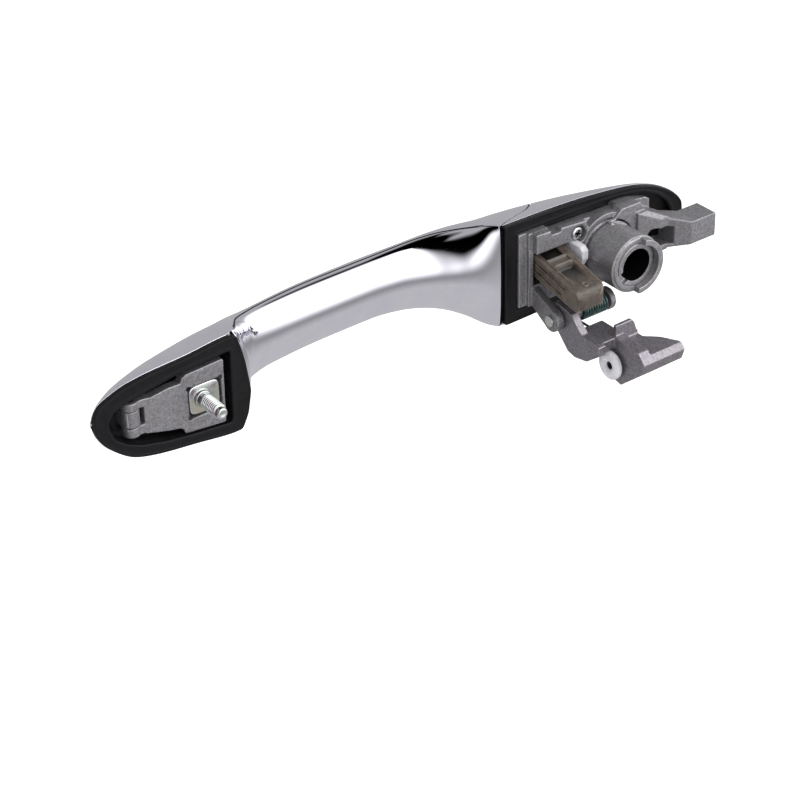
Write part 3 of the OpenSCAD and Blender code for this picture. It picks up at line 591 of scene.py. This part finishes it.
# ---- Gaskets ----
GASKET_SET_IN = 0.4
GASKET_TOP = 1.8
# Just below zero, so that ring_section counts it from the inner edge.
INNER_EDGE = -1e-6
GASKET_SECTION = [(0.2, GASKET_TOP), (0, 1.6), (0, 0.5), (0.12, 0.18), (0.45, 0.0), (1.0, 0.0),
                  (1.35, 0.16), (1.8, 0.2), (-2.2, 0.2), (-1.75, 0.16), (-1.4, 0.02), (-0.5, 0.0),
                  (-0.14, 0.2), (INNER_EDGE, 0.55), (INNER_EDGE, 1.6), (-0.2, GASKET_TOP)]


def pad_edge(x, side):
    """Edge of a gasket just inside the pad's outline, above (1) or below (-1)."""
    return np.stack([x, mid_height(x) + side * (half_height(x) - GASKET_SET_IN)], 1)


def build_front_gasket():
    """The rubber ring behind the front pad, round the hinge's window."""
    tip_x, end_x = NOSE_X + 0.5, 16.2
    x = tip_x + (end_x - tip_x) * np.linspace(0, 1, 200) ** 2
    top, bottom = pad_edge(x, 1), pad_edge(x[::-1], -1)
    rear = [(16.2, 21.3), (17.4, 18), (19.6, 9), (21.4, -4.5), (19.6, -14), (16.9, -19.6),
            (16.2, -20.5)]
    window_top = [(-40.2, 3), (-39.8, 6), (-37.8, 8.6), (-34, 10.2), (-29, 11.2), (-11, 14.2),
                  (13, 15.9)]
    window_rear = [(13, 15.9), (12.6, 0.6), (12.4, -12), (11.8, -15.3)]
    window_bottom = [(11.8, -15.3), (-3.5, -13.9), (-16, -12.2), (-27, -9.6), (-33.2, -6.8),
                     (-38, -3), (-40.2, 3)]
    counts = (110, 50, 110)
    outer = outline([top, rear, bottom], counts, 2)
    inner = outline([window_top, window_rear, window_bottom], counts, 4)
    points, faces = ring_section(outer, inner, GASKET_SECTION)
    outward(piece("front_gasket_ring", points, faces, "grip", RUBBER,
                  ["front_gasket"]))


def build_rear_gasket():
    """The rubber ring behind the rear cap, round the base casting's window."""
    tip_x, end_x = 240.5, 144.2
    x = tip_x + (end_x - tip_x) * np.linspace(0, 1, 200) ** 1.8
    top, bottom = pad_edge(x[::-1], 1), pad_edge(x, -1)
    left = [bottom[-1], top[0]]
    window_left = [(150.2, -16.8), (150.2, 18.2)]
    window_top = [(150.2, 18.2), (180, 17.4), (205, 16.9), (217, 15), (225, 11.4), (231, 6.4),
                  (234, 0.6)]
    window_bottom = [(234, 0.6), (231, -5.6), (225, -10.2), (217, -13.6), (205, -15.4),
                     (180, -16.6), (150.2, -16.8)]
    counts = (50, 140, 140)
    outer = outline([left, top, bottom], counts, 2)
    inner = outline([window_left, window_top, window_bottom], counts, 4)
    points, faces = ring_section(outer, inner, GASKET_SECTION)
    outward(piece("rear_gasket_ring", points, faces, "carrier", RUBBER,
                  ["rear_gasket"]))


# ---- Front stud ----
def rounded_square(width, height, fullness, centre, y, count=72):
    """Ring of points round a square with soft corners, in X and Z."""
    a = np.linspace(0, 2 * math.pi, count, endpoint=False)
    c, s = np.cos(a), np.sin(a)
    r = (np.abs(2 * c / width) ** fullness + np.abs(2 * s / height) ** fullness) ** (-1 / fullness)
    return np.stack([centre[0] + r * c, np.full(count, y), centre[1] + r * s], 1)


SHANK_RADIUS = 3.0
THREAD_PITCH = 1.0
THREAD_DEPTH = 0.62


def thread_ring(y, count):
    """Ring of points on the stud's thread, which runs out at both ends."""
    turn = np.arange(count) / count
    ridge = np.abs(2 * ((-y / THREAD_PITCH - turn) % 1) - 1)
    ridge = np.clip(1.35 * ridge - 0.25, 0.0, 1.0)
    share = smooth(-y, 2.1, 2.9) * (1 - smooth(-y, 10.3, 10.9))
    r = SHANK_RADIUS - THREAD_DEPTH * ridge * share
    a = turn * 2 * math.pi
    return np.stack([r * np.cos(a), np.full(count, y), r * np.sin(a)], 1)


def build_front_stud():
    """A flange and a square head off the axis, a collar, the thread and a plain point."""
    centre = (1.3, -0.4)
    head_w, head_h, flange_w, flange_h = 13.4, 12.4, 17.6, 16.4
    flange = [(1, 6.6), (0, 6.2), (0, 4.65)]
    head = [(0, 4.6), (0, 1.6), (0.3, 1.33), (0.9, 1.2)]
    collar = [(3.9, 1.2), (3.55, 1.1), (3.4, 0.8), (3.4, -0.1), (3.2, -0.3),
              (SHANK_RADIUS, -0.35), (SHANK_RADIUS, -2.0)]
    point = [(2.9, -11.0), (2.25, -11.35), (2.2, -12.9), (2.0, -13.25), (1.7, -13.4),
             (1.15, -13.4), (0.95, -13.2), (0.3, -13.1)]
    rings = [rounded_square(flange_w - inset, flange_h - inset, 9, centre, y)
             for inset, y in flange]
    rings += [rounded_square(head_w - inset, head_h - inset, 5, centre, y) for inset, y in head]
    rings += [rounded_square(2 * r, 2 * r, 2, (0, 0), y) for r, y in collar]
    count = len(rings[0])
    rings += [thread_ring(y, count) for y in np.arange(-2.1, -10.9, -THREAD_PITCH / 14)]
    rings += [rounded_square(2 * r, 2 * r, 2, (0, 0), y) for r, y in point]
    points = np.array(rings)
    outward(piece("front_stud_threaded", points, loft_faces(len(points), count), "carrier",
                  PLATED, ["front_stud"], sharp=50))


# ---- Tail ----
TAIL_X0 = 157.0
TAIL_X1 = 172.6
TAIL_END = -30.2
TAIL_TAPER = math.tan(math.radians(2.2))
NOSE_LENGTH = 2.4
EDGE_RADIUS = 0.7
EDGE_POINTS = 4
FACE_POINTS = 76
SIDE_POINTS = 36
UPPER_FACE = slice(0, FACE_POINTS)
LEFT_FACE = slice(-EDGE_POINTS - SIDE_POINTS, -EDGE_POINTS)


def tail_top(y):
    """Height of the tail's upper face, which falls towards its end."""
    return 7.6 + 0.24 * np.minimum(y + 0.5, 0)


def tail_bottom(y):
    """Height of the tail's lower face."""
    return -2.6 + 0.19 * np.minimum(y + 1, 0)


def inside_band(v, low, high, soft):
    """1 between low and high, with a ramp of the given width inside each end."""
    return smooth(v, low, low + soft) * (1 - smooth(v, high - soft, high))


def root_window(x, y):
    """1 inside the window at the tail's root."""
    return inside_band(x, 159.4, 168.6, 0.25) * inside_band(y, -7.3, -0.4, 0.25)


def tail_hollow(x, y):
    """Depth of the hollows in the tail's upper face."""
    root = 1.3 * root_window(x, y)
    tray = 0.8 * inside_band(x, 159.7, 169.8, 0.5) * inside_band(y, -11.2, -7.9, 0.5)
    fall = 1 - 0.75 * smooth(-y, 12.5, 25)
    narrow = 1.6 * smooth(-y, 18, 25)
    scoop = 2.5 * fall * inside_band(x, 160.0 + narrow, 169.9 - narrow * 0.6, 1.7)
    scoop = scoop * inside_band(y, -24.6, -11.6, 1.3)
    rail = 0.35 * inside_band(x, 158.7, 159.3, 0.2) * inside_band(y, -25, -1.5, 1)
    from_boss = np.hypot(x - 164.2, y + 25.9)
    boss = 0.4 * (1 - smooth(from_boss, 1.25, 1.6)) - 0.3 * (1 - smooth(from_boss, 0.55, 0.85))
    return root + tray + scoop + rail - boss


def edge_arc(x, z, start, end):
    """Points on a quarter turn about a centre, between its start and end directions."""
    turn = np.linspace(0, math.pi / 2, EDGE_POINTS + 2)[1:-1, None]
    return (x, z) + EDGE_RADIUS * (np.cos(turn) * start + np.sin(turn) * end)


def side_grooves(from_top, y):
    """Depth of the two grooves along the tail's left side."""
    upper = inside_band(from_top, 2.5, 3.3, 0.2) * inside_band(y, -22, 2, 0.8)
    lower = inside_band(from_top, 6.4, 7.2, 0.2) * inside_band(y, -20, 2, 0.8)
    return 0.65 * (upper + lower)


def tail_ring(y):
    """Closed outline of the tail at one depth, in X and Z, from the upper face clockwise."""
    tip = max(0.0, (TAIL_END + NOSE_LENGTH - y) / NOSE_LENGTH)
    bend = 1 - math.sqrt(max(0.0, 1 - tip**2))
    top = tail_top(y) - 2.6 * bend
    bottom = tail_bottom(y) + 1.2 * bend
    left = TAIL_X0 + 0.5 * bend
    right = TAIL_X1 - TAIL_TAPER * max(0, -2 - y) - 2.4 * bend
    x0, x1 = left + EDGE_RADIUS, right - EDGE_RADIUS
    z0, z1 = bottom + EDGE_RADIUS, top - EDGE_RADIUS
    x = np.linspace(x0, x1, FACE_POINTS)
    z = np.linspace(z0, z1, SIDE_POINTS)
    slot = inside_band(x[::-1], 160.2, 169.6, 0.3) * inside_band(y, -26, -12.4, 0.3)
    slot_ceiling = tail_top(y) - 5.1
    upper = np.stack([x, top - tail_hollow(x, y) * (1 - bend)], 1)
    lower = np.stack([x[::-1], bottom + (slot_ceiling - bottom) * slot], 1)
    right_side = np.stack([np.full(SIDE_POINTS, right), z[::-1]], 1)
    left_side = np.stack([left + side_grooves(tail_top(y) - z, y), z], 1)
    return np.concatenate([upper, edge_arc(x1, z1, (0, 1), (1, 0)),
                           right_side, edge_arc(x1, z0, (1, 0), (0, -1)),
                           lower, edge_arc(x0, z0, (0, -1), (-1, 0)),
                           left_side, edge_arc(x0, z1, (-1, 0), (0, 1))])


def build_tail_sleeve():
    """The brown plastic sleeve on the grip's tail."""
    nose_y = TAIL_END + NOSE_LENGTH
    straight = np.arange(2.5, nose_y, -0.22)
    rounded = TAIL_END + NOSE_LENGTH * (1 - np.sin(np.linspace(0, math.pi / 2, 12)))
    rows = []
    for y in np.concatenate([[3.5, 3.3], straight, rounded]):
        ring = tail_ring(y)
        rows.append(np.stack([ring[:, 0], np.full(len(ring), y), ring[:, 1]], 1))
    points = np.array(rows)
    obj = outward(piece("tail_sleeve_moulding", points, loft_faces(*points.shape[:2]), "grip",
                        SMOKE, ["tail_sleeve"], sharp=60))
    # Painted shade: how dark each point is painted, from the depth of the hollows, a black root window
    # and the side grooves; the rounded end is left unshaded.
    depth = np.zeros(points.shape[:2])
    upper_x, upper_y = points[:, UPPER_FACE, 0], points[:, UPPER_FACE, 1]
    depth[:, UPPER_FACE] = tail_hollow(upper_x, upper_y) + 3 * root_window(upper_x, upper_y)
    depth[:, LEFT_FACE] = 4 * np.maximum(points[:, LEFT_FACE, 0] - TAIL_X0 - 0.1, 0)
    unshaded_rows = 8
    depth[-unshaded_rows:] = 0
    store_hollow(obj, depth)


# ---- Screws, spring and clip ----
SCREW_PLACES = [(177.9, -3.4, 11), (214.2, -2.6, 0.4)]
HEAD_RADIUS = 2.9
HEAD_TOP = -1.9
SCREW_SIDES = 96


def cross_recess(u, v):
    """1 inside the cross recess of a screw's head and 0 on the rest of it."""
    across = np.minimum(np.abs(u), np.abs(v))
    along = np.maximum(np.abs(u), np.abs(v))
    half_width, length = 0.42, 1.75
    cross = 1 - smooth(across, half_width - 0.1, half_width + 0.1)
    return cross * (1 - smooth(along, length - 0.5, length))


def build_screws():
    """Two pan head screws with a cross recess."""
    turn = np.linspace(0, 2 * math.pi, SCREW_SIDES, endpoint=False)
    cross_turn, cross_depth = 0.35, 1.1
    profile = [(1.5, 7.8), (1.5, 0.0), (HEAD_RADIUS, 0.0), (HEAD_RADIUS, -1.0),
               (HEAD_RADIUS * 0.97, -1.3), (HEAD_RADIUS * 0.88, -1.6),
               (HEAD_RADIUS * 0.74, -1.8), (HEAD_RADIUS * 0.62, HEAD_TOP)]
    profile += [(r, HEAD_TOP) for r in np.linspace(HEAD_RADIUS * 0.6, 0.06, 22)]
    rings = []
    recess = []
    for r, y in profile:
        cross = cross_recess(r * np.cos(turn + cross_turn), r * np.sin(turn + cross_turn))
        recess.append(cross * (y == HEAD_TOP))
        rings.append(np.stack([r * np.cos(turn), y + cross_depth * recess[-1],
                               r * np.sin(turn)], 1))
    faces = loft_faces(len(profile), SCREW_SIDES)
    for index, place in enumerate(SCREW_PLACES):
        obj = outward(piece(f"pan_screw_{index}", np.array(rings) + place, faces, "carrier",
                            PLATED, ["base_screws"], sharp=35))
        # Painted shade: the cross recess is marked for the plated material to darken.
        store_hollow(obj, recess)


PIVOT_Y = -14.4
PIVOT_Z = -17.8


def build_spring():
    """The crank's coil spring about an axis in X, with two straight legs."""
    wire, turns, radius, steps_a_turn = 0.55, 10.25, 4.25, 28
    x0, x1 = 170.0, 183.4
    steps = int(turns * steps_a_turn)
    share = np.linspace(0, 1, steps + 1)
    angle = 2 * math.pi * turns * share - math.pi / 2
    path = [(x0, PIVOT_Y - d, PIVOT_Z - radius) for d in np.linspace(9.3, 0.5, 12)]
    path += [(x0 + (x1 - x0) * s, PIVOT_Y + radius * math.cos(a), PIVOT_Z + radius * math.sin(a))
             for s, a in zip(share, angle)]
    path += [(x1, PIVOT_Y + radius, PIVOT_Z + d) for d in np.linspace(0.5, 8, 10)]
    path = np.array(path)
    ahead = np.gradient(path, axis=0)
    ahead /= np.linalg.norm(ahead, axis=1, keepdims=True)
    side = np.cross(ahead, (1, 0, 0))
    side /= np.linalg.norm(side, axis=1, keepdims=True)
    over = np.cross(side, ahead)
    turn = np.linspace(0, 2 * math.pi, 14, endpoint=False)[None, :, None]
    points = path[:, None] + wire * (np.cos(turn) * side[:, None] + np.sin(turn) * over[:, None])
    outward(piece("crank_spring_wire", points, loft_faces(*points.shape[:2]), "carrier",
                  SPRING, ["crank_spring"], sharp=60))


def build_rod_clip():
    """The nylon clip for the rod: a flanged tube about an axis in X."""
    clip_y, clip_z = -38.6, -31.6
    profile = [(1.6, 176.3), (1.75, 176.6), (2.5, 176.6), (2.7, 176.4), (2.7, 169.9), (3.0, 169.5),
               (3.7, 169.25), (5.8, 168.85), (6.1, 168.6), (6.2, 168.2), (6.2, 167.1), (6.1, 166.8),
               (5.85, 166.6), (4.9, 166.1), (4.5, 166.0), (3.5, 166.0), (3.2, 166.1), (2.4, 166.5),
               (1.8, 167.0), (1.6, 167.4)]
    rings = lathe(profile)
    faces = loft_faces(*rings.shape[:2], ends="joined")
    obj = outward(piece("rod_clip_moulding", rings + (0, clip_y, clip_z), faces, "clip",
                        NYLON, ["rod_clip"], sharp=50))
    # Painted shade: marks the bore for the nylon material to darken.
    store_hollow(obj, np.hypot(rings[..., 1], rings[..., 2]) < 1.7)


# ---- CAD nodes that stay: cast skins and moulded edges ----
def dress(name, material, voxel_mm=None, bevel_mm=None):
    """Gives a CAD node its material, and a cast skin by remeshing or soft edges by a bevel."""
    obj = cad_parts[name]
    obj.data.materials.clear()
    obj.data.materials.append(material)
    weld = obj.modifiers.new("weld", "WELD")
    weld.merge_threshold = 0.001 * MM
    if voxel_mm:
        remesh = obj.modifiers.new("skin", "REMESH")
        remesh.mode = "VOXEL"
        remesh.voxel_size = voxel_mm * MM
        remesh.use_smooth_shade = True
        ease = obj.modifiers.new("ease", "SMOOTH")
        ease.factor = 0.5
        ease.iterations = 4
    if bevel_mm:
        bevel = obj.modifiers.new("edges", "BEVEL")
        bevel.width = bevel_mm * MM
        bevel.segments = 2
        bevel.limit_method = "ANGLE"
        bevel.angle_limit = math.radians(35)
        shade = obj.modifiers.new("shade", "WEIGHTED_NORMAL")
        shade.keep_sharp = True


# Size of the remesh's cells for each casting, in millimetres.
CASTINGS = {"base_casting": 0.3, "lock_housing": 0.26, "lock_sleeve": 0.24, "bell_crank": 0.28,
            "front_bracket": 0.26, "hinge_knuckle": 0.2, "tail_hook": 0.3}


def dress_nodes():
    """Looks of the CAD nodes that no piece stands for."""
    own_look = {"lock_sleeve": SLEEVE, "lock_housing": SLEEVE, "bell_crank": CRANK}
    for name, voxel in CASTINGS.items():
        dress(name, own_look.get(name, ZINC), voxel_mm=voxel)
    dress("tail_guide", NYLON, voxel_mm=0.25)
    for name in ("grip_core", "front_carrier", "cap_core"):
        dress(name, BLACK)
    for name in ("hinge_pin", "pivot_pin"):
        dress(name, PLATED, bevel_mm=0.25)


# ---- Light, floor and camera ----
def step_between(tree, value, low, high):
    """0 where the value is low, 1 where it is high, and a soft ramp between."""
    made = node(tree, "MapRange", {"interpolation_type": "SMOOTHSTEP"}, Value=value, From_Min=low,
                From_Max=high)
    return made.outputs["Result"]


SCREEN_LIGHT = 1.6
WALL_LIGHT = 0.45
GROUND_LIGHT = 0.54
BAND_DROP = 0.22


def studio_light(tree):
    """Strength of a studio as a function of direction, in degrees round from the door side and
    above the horizon: a bright screen to the front and right, a dark gap on its left, grey walls
    beyond, and a grey floor with a darker band."""
    way = node(tree, "SeparateXYZ", Vector=node(tree, "TexCoord").outputs["Generated"])
    x, y, z = (way.outputs[k] for k in "XYZ")
    forward = combine(tree, "MULTIPLY", y, -1.0)
    around = combine(tree, "MULTIPLY", combine(tree, "ARCTAN2", x, forward), 180 / math.pi)
    height = combine(tree, "MULTIPLY", combine(tree, "ARCSINE", z, 0.0), 180 / math.pi)
    above = step_between(tree, height, -24, -5)
    screen_left = step_between(tree, around, -44, -28)
    screen_right = step_between(tree, around, 118, 88)
    screen = combine(tree, "MULTIPLY", screen_left, screen_right)
    gap_end = step_between(tree, around, -66, -88)
    high = step_between(tree, height, 58, 68)
    behind = step_between(tree, around, 100, 116)
    low_part = step_between(tree, height, 56, 42)
    side = combine(tree, "MAXIMUM", gap_end, combine(tree, "MULTIPLY", behind, low_part))
    grey_side = combine(tree, "MULTIPLY", side, combine(tree, "SUBTRACT", 1.0, high))
    upper = combine(tree, "ADD", combine(tree, "MULTIPLY", screen, SCREEN_LIGHT),
                    combine(tree, "MULTIPLY", grey_side, WALL_LIGHT))
    edge = combine(tree, "MULTIPLY", step_between(tree, height, -34, -24),
                   step_between(tree, height, -12, -22))
    low = combine(tree, "SUBTRACT", GROUND_LIGHT, combine(tree, "MULTIPLY", edge, BAND_DROP))
    lower = combine(tree, "MULTIPLY", low, combine(tree, "SUBTRACT", 1.0, above))
    return combine(tree, "ADD", combine(tree, "MULTIPLY", upper, above), lower)


def build_world():
    """The studio, as bare metal and gloss reflect it. The camera and matt surfaces see white."""
    world = bpy.data.worlds.new("studio")
    bpy.context.scene.world = world
    world.use_nodes = True
    tree = world.node_tree
    studio = node(tree, "Background", Color=(0.985, 0.98, 1.0, 1.0), Strength=studio_light(tree))
    plain = node(tree, "Background", Color=(1.0, 1.0, 1.0, 1.0), Strength=1.0)
    path = node(tree, "LightPath").outputs
    either = combine(tree, "MAXIMUM", path["Is Camera Ray"], path["Is Diffuse Ray"])
    both = node(tree, "MixShader", Fac=either)
    tree.links.new(studio.outputs[0], both.inputs[1])
    tree.links.new(plain.outputs[0], both.inputs[2])
    tree.links.new(both.outputs[0], tree.nodes["World Output"].inputs["Surface"])


def placed(place, turned):
    """Matrix for a place in millimetres and the three axes as columns."""
    return Matrix.Translation([v * MM for v in place]) @ Matrix(turned.tolist()).to_4x4()


def area_light(name, place, aim, size, power_w):
    """A flat lamp at a place, turned to face an aim."""
    data = bpy.data.lights.new(name, "AREA")
    data.shape = "RECTANGLE"
    data.size, data.size_y = (s * MM for s in size)
    data.energy = power_w
    lamp = bpy.data.objects.new(name, data)
    bpy.context.scene.collection.objects.link(lamp)
    back = np.subtract(place, aim)
    back = back / np.linalg.norm(back)
    right = np.cross((0, 0, 1), back)
    right /= np.linalg.norm(right)
    turned = np.stack([right, np.cross(back, right), back], 1)
    lamp.matrix_world = placed(place, turned)


FLOOR_Z = -75.0
FLOOR_REACH = 3000.0


def build_floor():
    """A wide pale floor that the camera sees, but that neither lights nor mirrors in the part."""
    mesh = bpy.data.meshes.new("floor")
    corners = [(x * FLOOR_REACH * MM, y * FLOOR_REACH * MM, FLOOR_Z * MM)
               for x, y in ((-1, -1), (1, -1), (1, 1), (-1, 1))]
    mesh.from_pydata(corners, [], [(0, 1, 2, 3)])
    mat, tree, shader = new_material("pale_floor", Roughness=0.9, Specular_IOR_Level=0.1,
                                     Emission_Strength=0.45)
    shader.inputs["Emission Color"].default_value = (1, 1, 1, 1)
    paper = noise(tree, 60, 3, 0.5)
    tree.links.new(mixed(tree, paper, (0.93, 0.93, 0.93), (0.96, 0.96, 0.96)),
                   shader.inputs["Base Color"])
    mesh.materials.append(mat)
    obj = bpy.data.objects.new("floor", mesh)
    bpy.context.scene.collection.objects.link(obj)
    obj.visible_glossy = False
    obj.visible_diffuse = False


CAMERA_PLACE = (-362.1, -630.5, 460.5)
CAMERA_AZIMUTH = -35.65
CAMERA_ELEVATION = 32.65
CAMERA_ROLL = -1.65
CAMERA_LENS = 103.5


def build_camera():
    """A long lens on the door side of the handle, above it and to the hinge end."""
    azimuth, elevation, roll = (math.radians(v) for v in
                                (CAMERA_AZIMUTH, CAMERA_ELEVATION, CAMERA_ROLL))
    back = np.array([math.sin(azimuth) * math.cos(elevation),
                     -math.cos(azimuth) * math.cos(elevation), math.sin(elevation)])
    right = np.array([math.cos(azimuth), math.sin(azimuth), 0])
    up = np.cross(back, right)
    turned = np.stack([right * math.cos(roll) + up * math.sin(roll),
                       -right * math.sin(roll) + up * math.cos(roll), back], 1)
    data = bpy.data.cameras.new("camera")
    data.sensor_width = 36.0
    data.lens = CAMERA_LENS
    data.clip_start, data.clip_end = 0.01, 20
    camera = bpy.data.objects.new("camera", data)
    bpy.context.scene.collection.objects.link(camera)
    camera.matrix_world = placed(CAMERA_PLACE, turned)
    bpy.context.scene.camera = camera


build_outer_cover()
build_palm_cover()
build_rear_cap()
build_front_gasket()
build_rear_gasket()
build_front_stud()
build_tail_sleeve()
build_screws()
build_spring()
build_rod_clip()
dress_nodes()
build_world()
build_floor()
area_light("key", place=(420, -520, 520), aim=(120, 0, 0), size=(500, 400), power_w=1.5)
build_camera()
bpy.context.scene.view_settings.view_transform = "Standard"
